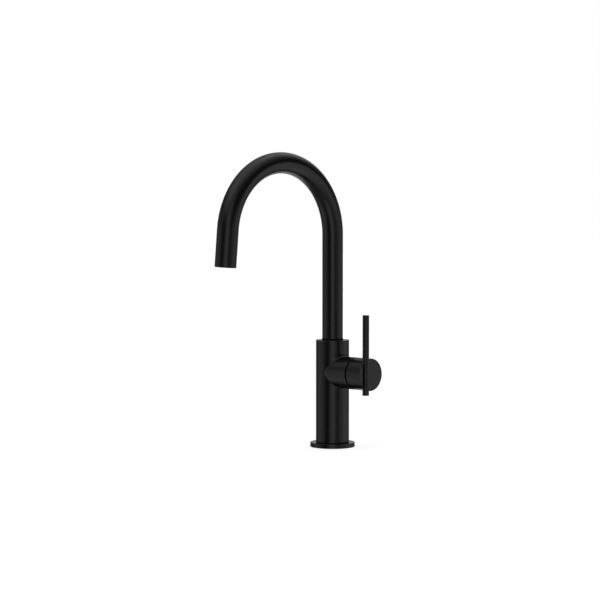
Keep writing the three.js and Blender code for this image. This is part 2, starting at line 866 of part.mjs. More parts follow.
piece(faucet, 'spout_tube', spoutTube(), 'satinBlack');
piece(faucet, 'spout_spigot', spoutSpigot(), 'brass');
piece(faucet, 'spout_o_ring_lower', spoutORing(lowerRingHeight), 'blackRubber');
piece(faucet, 'spout_o_ring_upper', spoutORing(upperRingHeight), 'blackRubber');
piece(outlet, 'aerator_housing', aeratorHousing(), 'blackPlastic');
piece(outlet, 'aerator_insert', aeratorInsert(), 'whitePlastic');
piece(outlet, 'aerator_washer', aeratorWasher(), 'blackRubber');

piece(faucet, 'rubber_washer', ring(clampBore, washerRadius, washerTop, clampTop, sides), 'blackRubber');
piece(faucet, 'clamp_washer', ring(clampBore, washerRadius, screwTip, washerTop, sides), 'steel');
piece(faucet, 'mounting_nut', mountingNut(), 'brass');
piece(faucet, 'clamp_screw_front', clampScrew(-clampScrewCircle), 'steel');
piece(faucet, 'clamp_screw_rear', clampScrew(clampScrewCircle), 'steel');

export default faucet;
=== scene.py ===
# %% [markdown]
# # A gooseneck bar faucet in satin black
#
# The faucet is a round column with a side barrel for the handle, and a swivelling tube that bends
# over like a goose's neck. Its construction is already fixed: every piece, axis and clearance comes
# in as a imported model. This lesson gives it its surface. Each piece that shows is modelled again,
# finer and with real edges, and every piece gets a material made of nodes. All lengths are metres.

# %% Load the fixed frame
import json
import math

import bpy
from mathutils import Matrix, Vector


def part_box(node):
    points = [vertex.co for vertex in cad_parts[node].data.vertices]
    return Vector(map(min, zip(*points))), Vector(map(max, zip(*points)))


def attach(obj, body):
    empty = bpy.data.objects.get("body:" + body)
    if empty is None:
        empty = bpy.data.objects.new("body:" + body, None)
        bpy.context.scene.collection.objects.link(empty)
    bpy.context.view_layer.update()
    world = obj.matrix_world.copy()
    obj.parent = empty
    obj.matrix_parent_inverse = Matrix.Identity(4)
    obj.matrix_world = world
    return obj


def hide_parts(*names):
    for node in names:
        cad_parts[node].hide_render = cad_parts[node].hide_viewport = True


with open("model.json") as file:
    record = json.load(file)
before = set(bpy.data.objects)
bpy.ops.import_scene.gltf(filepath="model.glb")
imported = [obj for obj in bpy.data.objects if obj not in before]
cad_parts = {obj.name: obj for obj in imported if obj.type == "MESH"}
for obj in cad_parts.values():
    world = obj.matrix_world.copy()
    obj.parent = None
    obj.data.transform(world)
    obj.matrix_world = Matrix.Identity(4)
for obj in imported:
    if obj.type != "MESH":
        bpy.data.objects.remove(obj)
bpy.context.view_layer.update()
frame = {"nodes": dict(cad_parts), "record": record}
bpy.ops.object.select_all(action="DESELECT")

# %% [markdown]
# ## Sizes that everything shares
#
# The frame already knows how large each piece is, so a radius or a height is read from a node's
# box. Only what a box can't tell is written here as a number, in millimetres, because that is how a
# drawing of a faucet gives it.

# %% Sizes read from the frame
MM = 0.001
SLIP = 0.3 * MM  # gap round pieces that screw, push or turn in each other

body_low, body_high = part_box("body_shell")
hub_low, hub_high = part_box("handle_hub")
tube_low, tube_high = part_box("spout_tube")

column_radius = -body_low.x
column_foot = body_low.z
column_top = body_high.z
stub_end = body_high.x
barrel_radius = (hub_high.y - hub_low.y) / 2
handle_height = (hub_high.z + hub_low.z) / 2
tube_radius = tube_high.x
print(f"column {2000 * column_radius:.2f} mm, barrel {2000 * barrel_radius:.2f} mm, "
      f"tube {2000 * tube_radius:.2f} mm across, handle {1000 * handle_height:.1f} mm up")

# %% [markdown]
# ## The camera
#
# The faucet was photographed from a little above its middle, about 46 degrees round from the spout,
# with a long lens far away, which keeps the column's sides parallel. A camera is placed the same
# way here: a point to aim at, a direction and a distance.

# %% Place the camera
camera_aim = Vector((-27.9, -28.6, 180.1)) * MM
camera_distance = 2279.3 * MM
camera_azimuth = math.radians(45.7)
camera_height_angle = math.radians(3.03)
focal_length = 111.57  # a lens and a sensor are given in millimetres, without the unit
sensor_width = 36

towards_camera = Vector((
    math.sin(camera_azimuth) * math.cos(camera_height_angle),
    -math.cos(camera_azimuth) * math.cos(camera_height_angle),
    math.sin(camera_height_angle),
))
camera_data = bpy.data.cameras.new("camera")
camera_data.lens = focal_length
camera_data.sensor_width = sensor_width
camera = bpy.data.objects.new("camera", camera_data)
bpy.context.scene.collection.objects.link(camera)
camera.location = camera_aim + camera_distance * towards_camera
camera.rotation_euler = towards_camera.to_track_quat("Z", "Y").to_euler()
bpy.context.scene.camera = camera
print("camera at", [round(value, 3) for value in camera.location])

# %% [markdown]
# ## Small helpers for nodes
#
# A material or a world is a graph, and most of its nodes are set the same way: make the node, set
# its properties, fill some inputs and link others. One helper does that, so that each finish below
# reads as a list of what it is made of.

# %% A helper that adds a node
def add_node(tree, kind, inputs=(), **settings):
    """A new node. Each input is a number or colour, or another node's output to link."""
    node = tree.nodes.new(kind)
    for key, value in settings.items():
        setattr(node, key, value)
    for key, value in dict(inputs).items():
        if isinstance(value, bpy.types.NodeSocket):
            tree.links.new(value, node.inputs[key])
        else:
            node.inputs[key].default_value = value
    return node


# %% [markdown]
# ## The light tent
#
# Black gloss has hardly any colour of its own: what the eye sees is the room in it. The photograph
# shows which room that was, because every band on the tube is the picture of something round it.
# A white box hangs overhead and reaches down at the left and at the back, white walls stand at both
# sides and behind the faucet, a narrow white strip stands behind the camera, and dark gaps lie
# between them. Two weak walls belong to stronger ones beside them: `right_edge` makes the foot of
# the right wall's soft edge longer, and `low_back` makes the back wall brighter near its floor.
#
# Lamps could stand for each of these, but then they would hang in the picture of every other view.
# The world is used instead. A wall is a soft window in two angles, round and up, and the walls are
# added together. The angle round is measured from the camera's direction, so 0 is behind the camera
# and 90 is at the right.

# %% Describe the walls of the tent
# name: from angle, to angle, softness round; from height, to height, softness up; brightness
TENT_WALLS = {
    "overhead": (-200, 200, 10, 55, 120, 35, 1.1),
    "high_left": (-100, -15, 35, 27, 65, 18, 0.7),
    "high_back": (120, 170, 20, 25, 75, 10, 0.55),
    "strip": (-17, 18, 16, -45, 30, 20, 0.9),
    "left_wall": (-118, -60, 20, -45, 15, 15, 0.5),
    "right_edge": (20, 60, 10, -65, 5, 10, 0.12),
    "right_wall": (52, 118, 28, -65, 3, 9, 0.75),
    "back_wall": (150, 205, 25, -60, 35, 15, 0.4),
    "low_back": (145, 205, 15, -65, -20, 12, 0.35),
    "under": (-200, 200, 10, -120, -35, 30, 0.2),
}
TENT_GAPS = 0.06  # what the dark gaps still send back
HALF_TURN, FULL_TURN = 180, 360  # the tent's angles are in degrees
print(len(TENT_WALLS), "walls, with gaps of brightness", TENT_GAPS)


# %% Build the tent in the world
def soft_step(tree, value, middle, softness):
    """0 below the middle, 1 above it, with a soft edge."""
    step = add_node(
        tree, "ShaderNodeMapRange", interpolation_type="SMOOTHSTEP",
        inputs={"Value": value, "From Min": middle - softness, "From Max": middle + softness},
    )
    return step.outputs["Result"]


def arithmetic(tree, operation, first, second):
    """One sum, of numbers or of other nodes' outputs."""
    node = add_node(tree, "ShaderNodeMath", operation=operation)
    for socket, value in zip(node.inputs, (first, second)):
        if isinstance(value, bpy.types.NodeSocket):
            tree.links.new(value, socket)
        else:
            socket.default_value = value
    return node.outputs[0]


def soft_window(tree, value, low, high, softness):
    """1 between low and high, 0 outside, with two soft edges."""
    return arithmetic(tree, "SUBTRACT", soft_step(tree, value, low, softness),
                      soft_step(tree, value, high, softness))


def build_tent():
    world = bpy.data.worlds.new("light_tent")
    world.use_nodes = True
    tree = world.node_tree
    tree.nodes.clear()
    direction = add_node(tree, "ShaderNodeTexCoord").outputs["Generated"]
    turned_round = add_node(
        tree, "ShaderNodeMapping", vector_type="POINT",
        inputs={"Vector": direction, "Rotation": (0, 0, math.pi / 2 - camera_azimuth)},
    ).outputs["Vector"]
    share = add_node(
        tree, "ShaderNodeTexGradient", gradient_type="RADIAL", inputs={"Vector": turned_round}
    ).outputs["Fac"]
    past_front = arithmetic(tree, "SUBTRACT", share, 0.5)
    round_angle = arithmetic(tree, "MULTIPLY", past_front, FULL_TURN)
    height = add_node(tree, "ShaderNodeSeparateXYZ", inputs={"Vector": direction}).outputs["Z"]
    rise = arithmetic(tree, "ARCSINE", height, 0)
    height_angle = arithmetic(tree, "MULTIPLY", rise, HALF_TURN / math.pi)

    light = TENT_GAPS
    for low, high, soft_round, floor, ceiling, soft_up, brightness in TENT_WALLS.values():
        around = soft_window(tree, round_angle, low, high, soft_round)
        if high > HALF_TURN:  # the wall crosses the back, where the angle jumps from 180 to -180
            far_edge = soft_step(tree, round_angle, high - FULL_TURN, soft_round)
            past_back = arithmetic(tree, "SUBTRACT", 1, far_edge)
            around = arithmetic(tree, "MAXIMUM", around, past_back)
        upright = soft_window(tree, height_angle, floor, ceiling, soft_up)
        wall = arithmetic(tree, "MULTIPLY", arithmetic(tree, "MULTIPLY", around, upright), brightness)
        light = arithmetic(tree, "ADD", wall, light)

    camera_ray = add_node(tree, "ShaderNodeLightPath").outputs["Is Camera Ray"]
    strength = add_node(
        tree, "ShaderNodeMix", data_type="FLOAT", inputs={"Factor": camera_ray, "A": light, "B": 1.0}
    ).outputs["Result"]
    background = add_node(
        tree, "ShaderNodeBackground", inputs={"Color": (1, 1, 1, 1), "Strength": strength}
    )
    add_node(tree, "ShaderNodeOutputWorld", inputs={"Surface": background.outputs["Background"]})
    return world


bpy.context.scene.world = build_tent()
bpy.context.scene.view_settings.view_transform = "Standard"
print("world nodes:", len(bpy.context.scene.world.node_tree.nodes))

# %% [markdown]
# ## The floor
#
# The faucet stands on a pale deck at height 0, and what is under the deck hangs below this floor.
# The floor has to look white to the camera and still keep the soft shadow round the base. So it is
# half a matt surface, which takes the shadow, and half a faint glow, which lifts it to white.
# Mirror rays pass through it, because the photographed deck was small and the metal shows the tent
# below it. It lies a hair above the base's underside, so that from below the two flat faces don't
# flicker into each other.

# %% Make the floor
floor_width = 12
floor_height = 0.02 * MM
floor_grey = 0.5
floor_glow = 0.73
bounce_grey = 0.8  # the floor as other surfaces see it


def build_floor():
    bpy.ops.mesh.primitive_plane_add(size=floor_width, location=(0, 0, floor_height))
    floor = bpy.context.object
    floor.name = "floor"
    material = bpy.data.materials.new("pale_floor")
    material.use_nodes = True
    tree = material.node_tree
    tree.nodes.clear()
    matt = add_node(tree, "ShaderNodeBsdfDiffuse", inputs={"Color": (*[floor_grey] * 3, 1)})
    glow = add_node(tree, "ShaderNodeEmission", inputs={"Color": (1, 1, 1, 1), "Strength": floor_glow})
    lifted = add_node(tree, "ShaderNodeAddShader")
    tree.links.new(matt.outputs[0], lifted.inputs[0])
    tree.links.new(glow.outputs[0], lifted.inputs[1])
    plain = add_node(tree, "ShaderNodeBsdfDiffuse", inputs={"Color": (*[bounce_grey] * 3, 1)})
    clear = add_node(tree, "ShaderNodeBsdfTransparent")
    path = add_node(tree, "ShaderNodeLightPath")
    seen = add_node(tree, "ShaderNodeMixShader", inputs={0: path.outputs["Is Camera Ray"]})
    tree.links.new(plain.outputs[0], seen.inputs[1])
    tree.links.new(lifted.outputs[0], seen.inputs[2])
    mirrored = add_node(tree, "ShaderNodeMixShader", inputs={0: path.outputs["Is Glossy Ray"]})
    tree.links.new(seen.outputs[0], mirrored.inputs[1])
    tree.links.new(clear.outputs[0], mirrored.inputs[2])
    add_node(tree, "ShaderNodeOutputMaterial", inputs={"Surface": mirrored.outputs[0]})
    floor.data.materials.append(material)
    return floor


print("floor:", build_floor().name)

# %% [markdown]
# ## Modelling helpers
#
# Most of a faucet is turned on a lathe, and Blender's lathe is Spin. A circle gets as many corners
# as the outline has, its corners are moved onto the outline, and Spin carries it round the axis.
# Where the outline touches the axis the copies fall together, so doubles are merged first and the
# faces are turned outwards after that. What a lathe can't do is carved with a Boolean.

# %% Spin, carve, soften and smooth
TURN_STEPS = 120
FEWER_STEPS = 96  # for turned pieces that are only cut or seldom seen
HOLE_SIDES = 32
HEXAGON_SIDES = 6
SOFT_ANGLE = 40  # in degrees: what is sharper is rounded, or keeps its two shades apart
CRISP_ANGLE = 30  # the same for threads, hexagons and cells
MERGE_DISTANCE = 0.001 * MM


def deselect_all():
    bpy.ops.object.select_all(action="DESELECT")


def apply_modifier(piece, modifier):
    deselect_all()
    piece.select_set(True)
    bpy.context.view_layer.objects.active = piece
    bpy.ops.object.modifier_apply(modifier=modifier.name)


def close_and_face_out():
    """In edit mode: merges doubles, drops loose ends and turns the faces outwards."""
    bpy.ops.mesh.select_all(action="SELECT")
    bpy.ops.mesh.remove_doubles(threshold=MERGE_DISTANCE)
    bpy.ops.mesh.delete_loose()
    bpy.ops.mesh.select_all(action="SELECT")
    bpy.ops.mesh.normals_make_consistent(inside=False)


def turned(outline, steps=TURN_STEPS):
    """Spins a closed outline of (radius, height) corners round the Z axis."""
    deselect_all()
    bpy.ops.mesh.primitive_circle_add(vertices=len(outline), radius=tube_radius)
    piece = bpy.context.object
    for vertex, (radius, height) in zip(piece.data.vertices, outline):
        vertex.co = (radius, 0, height)
    bpy.ops.object.mode_set(mode="EDIT")
    bpy.ops.mesh.select_all(action="SELECT")
    bpy.ops.mesh.spin(steps=steps, angle=2 * math.pi, center=(0, 0, 0), axis=(0, 0, 1))
    close_and_face_out()
    bpy.ops.object.mode_set(mode="OBJECT")
    return piece


def ring(inner, outer, low, high):
    """A ring about the Z axis with a square section."""
    return turned([(inner, low), (outer, low), (outer, high), (inner, high)])


def rod(radius, start, end, sides):
    """A cylinder from one point to another."""
    start, end = Vector(start), Vector(end)
    deselect_all()
    bpy.ops.mesh.primitive_cylinder_add(
        vertices=sides, radius=radius, depth=(end - start).length, location=(start + end) / 2,
        rotation=(end - start).to_track_quat("Z", "Y").to_euler(),
    )
    bpy.ops.object.transform_apply(location=True, rotation=True, scale=True)
    return bpy.context.object


def place(piece, location=(0, 0, 0), rotation=(0, 0, 0)):
    """Turns and moves the piece, and puts that place into its mesh."""
    deselect_all()
    piece.select_set(True)
    bpy.context.view_layer.objects.active = piece
    piece.rotation_euler = rotation
    piece.location = location
    bpy.ops.object.transform_apply(location=True, rotation=True, scale=True)
    return piece


def along_handle(piece):
    """Lays a piece that was turned about Z along the handle's axis."""
    return place(piece, (0, 0, handle_height), (0, math.pi / 2, 0))


def carve(piece, cutter, operation="DIFFERENCE"):
    """Cuts the piece with the cutter, which is used up."""
    modifier = piece.modifiers.new("carve", "BOOLEAN")
    modifier.solver = "EXACT"
    modifier.operation = operation
    modifier.object = cutter
    apply_modifier(piece, modifier)
    bpy.data.objects.remove(cutter)
    return piece


def soften(piece, width, segments=3, angle=SOFT_ANGLE):
    """Rounds every edge that is sharper than the angle."""
    modifier = piece.modifiers.new("soften", "BEVEL")
    modifier.width = width
    modifier.segments = segments
    modifier.limit_method = "ANGLE"
    modifier.angle_limit = math.radians(angle)
    apply_modifier(piece, modifier)
    return piece


def smooth(piece, angle=SOFT_ANGLE):
    """Smooth shading that keeps flat faces flat beside their rounded edges."""
    deselect_all()
    piece.select_set(True)
    bpy.context.view_layer.objects.active = piece
    bpy.ops.object.shade_smooth_by_angle(angle=math.radians(angle))
    modifier = piece.modifiers.new("flat faces first", "WEIGHTED_NORMAL")
    modifier.keep_sharp = True
    apply_modifier(piece, modifier)
    return piece


# %% [markdown]
# ## Finishes
#
# Each finish is a function that makes one material. Noise in object coordinates gives the small
# changes that a real surface has: the coating's fine grain, the lathe's rings on brass, the dull
# and shiny patches of rubber. Object coordinates are metres here, so a noise scale of 2500 makes
# grains of 0.4 mm. What is the same all over, such as the index of refraction, is set straight on
# the shader. Three things vary: the colour, the roughness and the grain, each after a noise.

# %% Helpers for finishes
NOISE_LOW, NOISE_HIGH = 0.3, 0.7
COLOUR_A, COLOUR_B, COLOUR_RESULT = 6, 7, 2  # the Mix node's sockets for colours


def start_material(name, roughness, metallic=0.0, ior=1.45):
    material = bpy.data.materials.new(name)
    material.use_nodes = True
    tree = material.node_tree
    shader = tree.nodes["Principled BSDF"]
    shader.inputs["Roughness"].default_value = roughness
    shader.inputs["Metallic"].default_value = metallic
    shader.inputs["IOR"].default_value = ior
    return material, tree, shader


def noise(tree, scale, detail=2.0, stretch=(1, 1, 1)):
    """Noise in object coordinates, stretched along an axis where its scale there is below 1."""
    place_on_piece = add_node(tree, "ShaderNodeTexCoord").outputs["Object"]
    stretched = add_node(
        tree, "ShaderNodeMapping", inputs={"Vector": place_on_piece, "Scale": stretch}
    ).outputs["Vector"]
    return add_node(
        tree, "ShaderNodeTexNoise", inputs={"Vector": stretched, "Scale": scale, "Detail": detail}
    ).outputs["Fac"]


def between(tree, factor, low, high):
    """A number that runs from low to high as the noise runs from its usual low to high."""
    scale = {"From Min": NOISE_LOW, "From Max": NOISE_HIGH, "To Min": low, "To Max": high}
    return add_node(
        tree, "ShaderNodeMapRange", inputs={"Value": factor, **scale}
    ).outputs["Result"]


def colours_between(tree, factor, low, high):
    mixed = add_node(tree, "ShaderNodeMix", data_type="RGBA")
    tree.links.new(between(tree, factor, 0, 1), mixed.inputs["Factor"])
    mixed.inputs[COLOUR_A].default_value = (*low, 1)
    mixed.inputs[COLOUR_B].default_value = (*high, 1)
    return mixed.outputs[COLOUR_RESULT]


def vary(tree, shader, colour, roughness, grain):
    """Each of the three is a noise, and after it a low and a high, or the grain's depth."""
    bump = add_node(
        tree, "ShaderNodeBump", inputs={"Height": grain[0], "Distance": grain[1], "Strength": 1.0}
    )
    tree.links.new(colours_between(tree, *colour), shader.inputs["Base Color"])
    tree.links.new(between(tree, *roughness), shader.inputs["Roughness"])
    tree.links.new(bump.outputs["Normal"], shader.inputs["Normal"])


# %% Make the finishes
LATHE_STRETCH = (0.06, 0.06, 1)  # the rings of a lathe are long round the axis and fine along it


def satin_black():
    """Black coating on brass: deep black, half matt, with a grain as fine as flour."""
    material, tree, shader = start_material("satin_black_coating", 0.2, ior=1.4)
    patches = noise(tree, 60)
    vary(
        tree, shader,
        colour=(patches, (0.0028, 0.0028, 0.0029), (0.0042, 0.0042, 0.0043)),
        roughness=(patches, 0.19, 0.225),
        grain=(noise(tree, 2600, detail=3), 0.004 * MM),
    )
    return material


def black_plastic():
    """Moulded plastic with a dull skin, which hardly mirrors."""
    material, tree, shader = start_material("black_plastic", 0.45)
    shader.inputs["Specular IOR Level"].default_value = 0.12
    speckle = noise(tree, 900, detail=3)
    vary(
        tree, shader,
        colour=(speckle, (0.003, 0.003, 0.003), (0.006, 0.006, 0.006)),
        roughness=(speckle, 0.38, 0.52),
        grain=(speckle, 0.02 * MM),
    )
    return material


def black_rubber():
    """Dusty rubber."""
    material, tree, shader = start_material("black_rubber", 0.75)
    dust = noise(tree, 260, detail=6)
    vary(
        tree, shader,
        colour=(dust, (0.008, 0.008, 0.008), (0.02, 0.02, 0.021)),
        roughness=(dust, 0.62, 0.85),
        grain=(dust, 0.04 * MM),
    )
    return material


def white_plastic():
    """Slightly yellow plastic, as cartridges and aerators are made of."""
    material, tree, shader = start_material("white_plastic", 0.4)
    shade = noise(tree, 120, detail=4)
    vary(
        tree, shader,
        colour=(shade, (0.62, 0.61, 0.57), (0.72, 0.71, 0.68)),
        roughness=(shade, 0.34, 0.46),
        grain=(noise(tree, 1500), 0.01 * MM),
    )
    return material


def ceramic():
    """Cream-coloured discs, lapped until they are almost mirrors."""
    material, tree, shader = start_material("lapped_ceramic", 0.12, ior=1.76)
    lapping = noise(tree, 3000, detail=4)
    vary(
        tree, shader,
        colour=(noise(tree, 90), (0.8, 0.77, 0.7), (0.86, 0.84, 0.78)),
        roughness=(lapping, 0.08, 0.2),
        grain=(lapping, 0.002 * MM),
    )
    return material


def turned_metal(name, dark, light, roughness):
    """Metal with the fine rings of a lathe, which run round the piece's axis."""
    material, tree, shader = start_material(name, roughness, metallic=1.0)
    rings = noise(tree, 2200, detail=2, stretch=LATHE_STRETCH)
    vary(
        tree, shader,
        colour=(noise(tree, 70, detail=5), dark, light),
        roughness=(rings, roughness - 0.06, roughness + 0.1),
        grain=(rings, 0.01 * MM),
    )
    return material


finishes = {
    "satin_black": satin_black(),
    "black_plastic": black_plastic(),
    "black_rubber": black_rubber(),
    "white_plastic": white_plastic(),
    "ceramic": ceramic(),
    "brass": turned_metal("turned_brass", (0.5, 0.33, 0.11), (0.66, 0.47, 0.19), 0.26),
    "steel": turned_metal("stainless_steel", (0.42, 0.42, 0.41), (0.56, 0.56, 0.55), 0.24),
}
print("finishes:", sorted(finishes))


# %% A helper that hands a piece over to the frame
def hand_over(piece, name, body, slot, *nodes):
    """Names the piece, gives it its finish, hangs it on its body and hides the nodes it stands for."""
    piece.name = name
    piece.data.name = name
    piece.data.materials.clear()
    piece.data.materials.append(finishes[slot])
    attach(piece, body)
    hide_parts(*nodes)
    piece.data.calc_loop_triangles()
    print(f"{name}: {len(piece.data.loop_triangles)} triangles, rides on {body}")
    return piece


# %% [markdown]
# ## The neck
#
# The real neck is one straight tube, bent in a machine round a wheel and then cut square. It is
# made the same way here. A circle is the tube's foot; it is extruded up to where the bend starts,
# spun round the wheel's axle, and extruded once more into the tail. Solidify then gives the skin
# its wall, inwards, so the outside keeps its size, and a bevel takes the sharpness off the ends.
# A curve with a round bevel would be quicker, but it has no open end with a wall to look into.
# Spin turns the other way round its axis than a right hand would, so the axle points to -X here.

# %% Bend the neck
arch_centre_height = 260.1 * MM
arch_radius = 86.5 * MM
arch_sweep = math.radians(174.85)
tail_length = 43.9 * MM
tube_wall = 1.5 * MM
tube_end_round = 0.35 * MM
END_ANGLE = 60  # only the tube's ends are sharper than this
BEND_STEPS = 160
tail_direction = Vector((0, -math.sin(arch_sweep), math.cos(arch_sweep)))
bend_end = Vector((
    0,
    arch_radius * (math.cos(arch_sweep) - 1),
    arch_centre_height + arch_radius * math.sin(arch_sweep),
))
outlet = bend_end + tail_length * tail_direction


def bend_neck():
    deselect_all()
    bpy.ops.mesh.primitive_circle_add(
        vertices=TURN_STEPS, radius=tube_radius, location=(0, 0, tube_low.z)
    )
    neck = bpy.context.object
    bpy.ops.object.transform_apply()
    bpy.ops.object.mode_set(mode="EDIT")
    bpy.ops.mesh.select_all(action="SELECT")
    rise = arch_centre_height - tube_low.z
    bpy.ops.mesh.extrude_region_move(TRANSFORM_OT_translate={"value": (0, 0, rise)})
    axle = (0, -arch_radius, arch_centre_height)
    bpy.ops.mesh.spin(steps=BEND_STEPS, angle=arch_sweep, center=axle, axis=(-1, 0, 0))
    bpy.ops.mesh.extrude_region_move(TRANSFORM_OT_translate={"value": tail_length * tail_direction})
    close_and_face_out()
    bpy.ops.object.mode_set(mode="OBJECT")
    wall = neck.modifiers.new("wall", "SOLIDIFY")
    wall.thickness = tube_wall
    wall.offset = -1
    wall.use_even_offset = True
    apply_modifier(neck, wall)
    return smooth(soften(neck, tube_end_round, angle=END_ANGLE))


neck = hand_over(bend_neck(), "neck", "spout", "satin_black", "spout_tube")
print("outlet at", [round(value, 4) for value in outlet], "metres")

# %% [markdown]
# ## The body
#
# The column and the stub for the handle are one casting, and a small fillet runs round the corner
# between them. The two cylinders are almost equally thick, so at the stub's sides they meet nearly
# flat. A Boolean with a bevel leaves slivers there, and black gloss shows every sliver.
#
# So a flat grid is wrapped over the body instead. One direction of the grid runs round the stub.
# The other runs along the stub, round the fillet and over the column to its rims. The fillet is the
# path of a ball that rolls in the corner: its centre keeps one fillet radius from both cylinders,
# and the ball touches each of them on the line from its centre to that cylinder's axis. Only the
# rims, the bores and the screw hole are then left for extrude, bevel and Boolean.

# %% Wrap a grid over the body
fillet = 2 * MM
rim_collar = 1.0 * MM  # straight stretch at the column's top and foot
rim_round = 0.45 * MM
RAYS = 384
STUB_RINGS, FILLET_RINGS, COLUMN_RINGS = 5, 6, 32
ALL_RINGS = STUB_RINGS + FILLET_RINGS + COLUMN_RINGS


def rim_place(turn):
    """Where a line of the grid ends: the angle round the column, and the height.

    A quarter of the lines ends on the top rim and a quarter on the foot's. The others end along the
    column's back, where the lines of both sides meet.
    """
    top, foot = column_top - rim_collar, column_foot + rim_collar
    side = math.copysign(math.pi, turn)
    eighths = abs(turn) / (math.pi / 4)
    if eighths <= 1:
        return eighths * side, top
    if eighths >= 3:
        return (4 - eighths) * side, foot
    return side, top + (foot - top) * (eighths - 1) / 2


def skin_point(number, turn):
    """A point of the grid: the number of its ring, and its turn round the stub, from -pi to pi."""
    across = (barrel_radius + fillet) * math.sin(turn)
    up = (barrel_radius + fillet) * math.cos(turn)
    ball = Vector((math.sqrt((column_radius + fillet) ** 2 - across**2), across, handle_height + up))
    to_stub = Vector((0, -math.sin(turn), -math.cos(turn)))
    to_column = Vector((-ball.x, -ball.y, 0)).normalized()
    if number <= STUB_RINGS:
        foot = ball + fillet * to_stub
        return foot.lerp(Vector((stub_end, foot.y, foot.z)), 1 - number / STUB_RINGS)
    if number <= STUB_RINGS + FILLET_RINGS:
        return ball + fillet * to_stub.slerp(to_column, (number - STUB_RINGS) / FILLET_RINGS)
    share = (number - STUB_RINGS - FILLET_RINGS) / COLUMN_RINGS
    touch = ball + fillet * to_column
    rim_angle, rim_height = rim_place(turn)
    angle = math.atan2(touch.y, touch.x) * (1 - share) + rim_angle * share
    height = touch.z * (1 - share) + rim_height * share
    return Vector((column_radius * math.cos(angle), column_radius * math.sin(angle), height))


def select_edges(piece, wanted):
    """Opens edit mode with only those edges selected whose two ends pass the test."""
    mesh = piece.data
    for part in (mesh.polygons, mesh.edges, mesh.vertices):
        part.foreach_set("select", [False] * len(part))
    passing = [wanted(vertex.co) for vertex in mesh.vertices]
    for edge in mesh.edges:
        edge.select = all(passing[corner] for corner in edge.vertices)
    bpy.context.tool_settings.mesh_select_mode = (False, True, False)
    bpy.context.view_layer.objects.active = piece
    bpy.ops.object.mode_set(mode="EDIT")


def wrap_body():
    deselect_all()
    bpy.ops.mesh.primitive_grid_add(x_subdivisions=ALL_RINGS, y_subdivisions=RAYS, size=1)
    body = bpy.context.object
    for vertex in body.data.vertices:
        number = round((vertex.co.x + 0.5) * ALL_RINGS)
        vertex.co = skin_point(number, 2 * math.pi * vertex.co.y)
    bpy.ops.object.mode_set(mode="EDIT")
    close_and_face_out()
    bpy.ops.object.mode_set(mode="OBJECT")
    return body


body = wrap_body()
print("grid wrapped:", len(body.data.vertices), "corners")


# %% Close the rims and carve the bores
def grow_rim(height, rise):
    """Lengthens the column's open end by a straight collar and closes it."""
    select_edges(body, lambda place: abs(place.z - height) < MERGE_DISTANCE)
    bpy.ops.mesh.extrude_region_move(TRANSFORM_OT_translate={"value": (0, 0, rise)})
    bpy.ops.mesh.edge_face_add()
    bpy.ops.object.mode_set(mode="OBJECT")


grow_rim(column_top - rim_collar, rim_collar)
grow_rim(column_foot + rim_collar, -rim_collar)
select_edges(body, lambda place: abs(place.x - stub_end) < MERGE_DISTANCE)
bpy.ops.mesh.edge_face_add()
bpy.ops.mesh.select_all(action="SELECT")
bpy.ops.mesh.normals_make_consistent(inside=False)
bpy.ops.object.mode_set(mode="OBJECT")
soften(body, rim_round)

glide_low, glide_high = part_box("glide_ring")
housing_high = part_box("cartridge_housing")[1]
nut_low, nut_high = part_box("cartridge_nut")
core_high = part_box("waterway_core")[1]
lock_low, lock_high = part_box("spout_lock_screw")
beyond = 1.0 * MM  # how far a cutting rod runs past the face it cuts
ring_seat = glide_high.x + 0.1 * MM  # the plastic ring is pressed in, so its gap is small
nut_bore = (nut_high.y - nut_low.y) / 2 + SLIP
lock_radius = (lock_high.x - lock_low.x) / 2
lock_height = (lock_high.z + lock_low.z) / 2


def on_handle_axis(x):
    return (x, 0, handle_height)


for cutter in (
    rod(core_high.x + SLIP, (0, 0, column_foot - beyond), (0, 0, core_high.z), TURN_STEPS),
    rod(ring_seat, (0, 0, 0), (0, 0, column_top + beyond), TURN_STEPS),
    rod(housing_high.y + SLIP, on_handle_axis(0), on_handle_axis(stub_end), TURN_STEPS),
    rod(nut_bore, on_handle_axis(nut_low.x - beyond), on_handle_axis(stub_end + beyond), TURN_STEPS),
    rod(lock_radius + SLIP, (0, 0, lock_height), (0, column_radius + beyond, lock_height), HOLE_SIDES),
):
    carve(body, cutter)
hand_over(smooth(body), "column", "body", "satin_black", "body_shell")
print(f"nut bore {2000 * nut_bore:.2f} mm across, lock screw {1000 * lock_height:.1f} mm up")

# %% [markdown]
# ## The base plate and its gasket
#
# The plate is a turned disc with a bore for the shank. Its top edge is rounded more than the others,
# because hands and cloths pass over it. The rubber ring lies in a groove underneath, so that the
# metal itself comes down on the deck and only the rubber seals.

# %% Turn the base plate
flange_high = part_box("base_flange")[1]
gasket_low, gasket_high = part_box("base_gasket")
shank_radius = 16 * MM
gasket_width = 3.5 * MM
gasket_round = 0.45 * MM
plate_top_round = 0.5 * MM
plate_round = 0.15 * MM
deck_bore = shank_radius + SLIP
gasket_inner = gasket_high.x - gasket_width
groove_inner = gasket_inner - SLIP
groove_outer = gasket_high.x + SLIP


def on_ring(radius, height):
    """A test for the corners that lie on a circle round the Z axis."""
    def wanted(place):
        off_circle = abs(math.hypot(place.x, place.y) - radius)
        return off_circle < MERGE_DISTANCE and abs(place.z - height) < MERGE_DISTANCE
    return wanted


